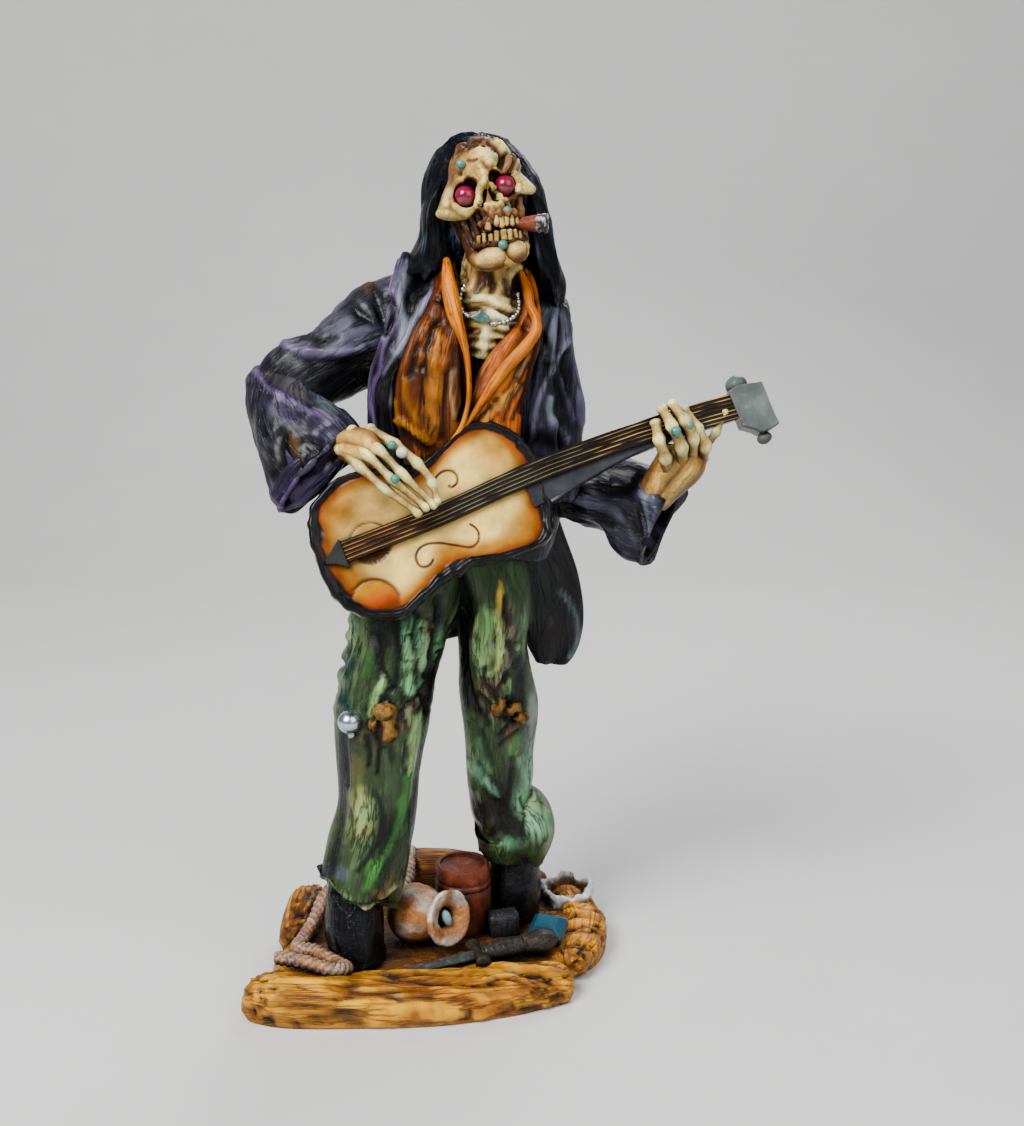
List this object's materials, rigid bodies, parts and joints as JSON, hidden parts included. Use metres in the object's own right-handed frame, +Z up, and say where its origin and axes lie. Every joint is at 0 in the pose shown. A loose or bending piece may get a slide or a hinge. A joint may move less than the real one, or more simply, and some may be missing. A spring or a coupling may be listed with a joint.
{
  "type": "resin figurine",
  "caption": "Painted cold-cast resin figurine of a skeletal guitarist in a long coat, standing on a carved timber base with a jar, barrel, dagger and rope.",
  "frame": {"origin": "middle of the base's flat underside", "axes": "+X to the right of someone who looks at the figure's face, +Y from its front to its back, +Z up"},
  "size_m": [0.1813, 0.1048, 0.3],
  "materials": {
    "painted_resin": "satin",
    "guitar_paint": "gloss",
    "red_glass": "polished",
    "cigar_paint": "matte",
    "silvered_glass": "polished",
    "teal_glass": "polished",
    "pebble_stone": "satin",
    "turquoise": "satin",
    "pearl": "pearlescent"
  },
  "bodies": {
    "root": {"figure": "painted_resin", "guitar": "guitar_paint", "eye_left": "red_glass", "eye_right": "red_glass", "cigar": "cigar_paint", "knee_ball": "silvered_glass", "base_gem": "teal_glass", "jar_pebble": "pebble_stone", "forehead_stud": "turquoise", "lip_stud": "turquoise", "chin_stud": "turquoise", "ring_stone_1": "turquoise", "ring_stone_2": "turquoise", "ring_stone_3": "turquoise", "ring_stone_4": "turquoise", "ring_pearl": "pearl"}
  },
  "joints": []
}
